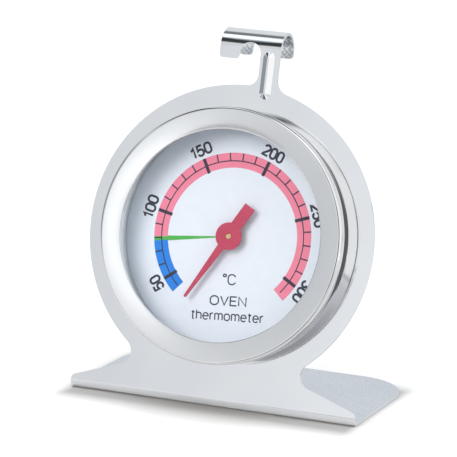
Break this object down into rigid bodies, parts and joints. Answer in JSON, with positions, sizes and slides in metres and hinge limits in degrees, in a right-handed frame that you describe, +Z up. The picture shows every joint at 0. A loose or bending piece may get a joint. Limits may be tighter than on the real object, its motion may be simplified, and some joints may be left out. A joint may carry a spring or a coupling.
{
  "type": "oven thermometer",
  "caption": "Round dial thermometer on a bent stamped stand, with a rolled hook that hangs it from an oven shelf bar; the pointer turns with the temperature.",
  "frame": {"origin": "middle of the whole object's footprint, on the surface it stands on", "axes": "+X to the reader's right, +Y from the dial to the back, +Z up"},
  "size_m": [0.0604, 0.0408, 0.0728],
  "materials": {
    "stand_steel": "polished stainless sheet",
    "bezel_steel": "bright polished",
    "case_steel": "drawn, satin",
    "spring_steel": "satin",
    "glass": "clear flat glass",
    "inner_wall": "satin",
    "dial_paint": "white enamel with a printed scale",
    "pointer_paint": "red paint, satin",
    "brass": "turned",
    "bimetal": "rolled strip, slightly blued"
  },
  "bodies": {
    "body": {"stand_plate": "stand_steel", "bezel_ring": "bezel_steel", "rear_case": "case_steel", "case_retaining_ring": "spring_steel", "lens_glass": "glass", "spacer_ring": "inner_wall", "dial_support_ring": "inner_wall", "dial_plate": "dial_paint", "movement_bridge": "case_steel", "bridge_rivets": "spring_steel", "front_bearing_bush": "brass", "rear_bearing_bush": "brass", "front_thrust_washer": "spring_steel", "rear_thrust_washer": "spring_steel", "bimetal_coil": "bimetal", "coil_anchor_post": "brass", "anchor_post_screw": "spring_steel"},
    "pointer": {"pointer": "pointer_paint", "pointer_bush": "brass", "arbor": "brass", "coil_collet": "brass", "coil_rivet": "spring_steel"}
  },
  "joints": [
    {"name": "pointer_turn", "type": "hinge", "parent": "body", "child": "pointer", "pos_m": [0, -0.00911, 0.0332], "axis": [0, 0.9767, -0.2147], "range_deg": [-27, 279], "stiffness_Nm_per_rad": 0.0013, "deforming": ["bimetal_coil"]}
  ]
}
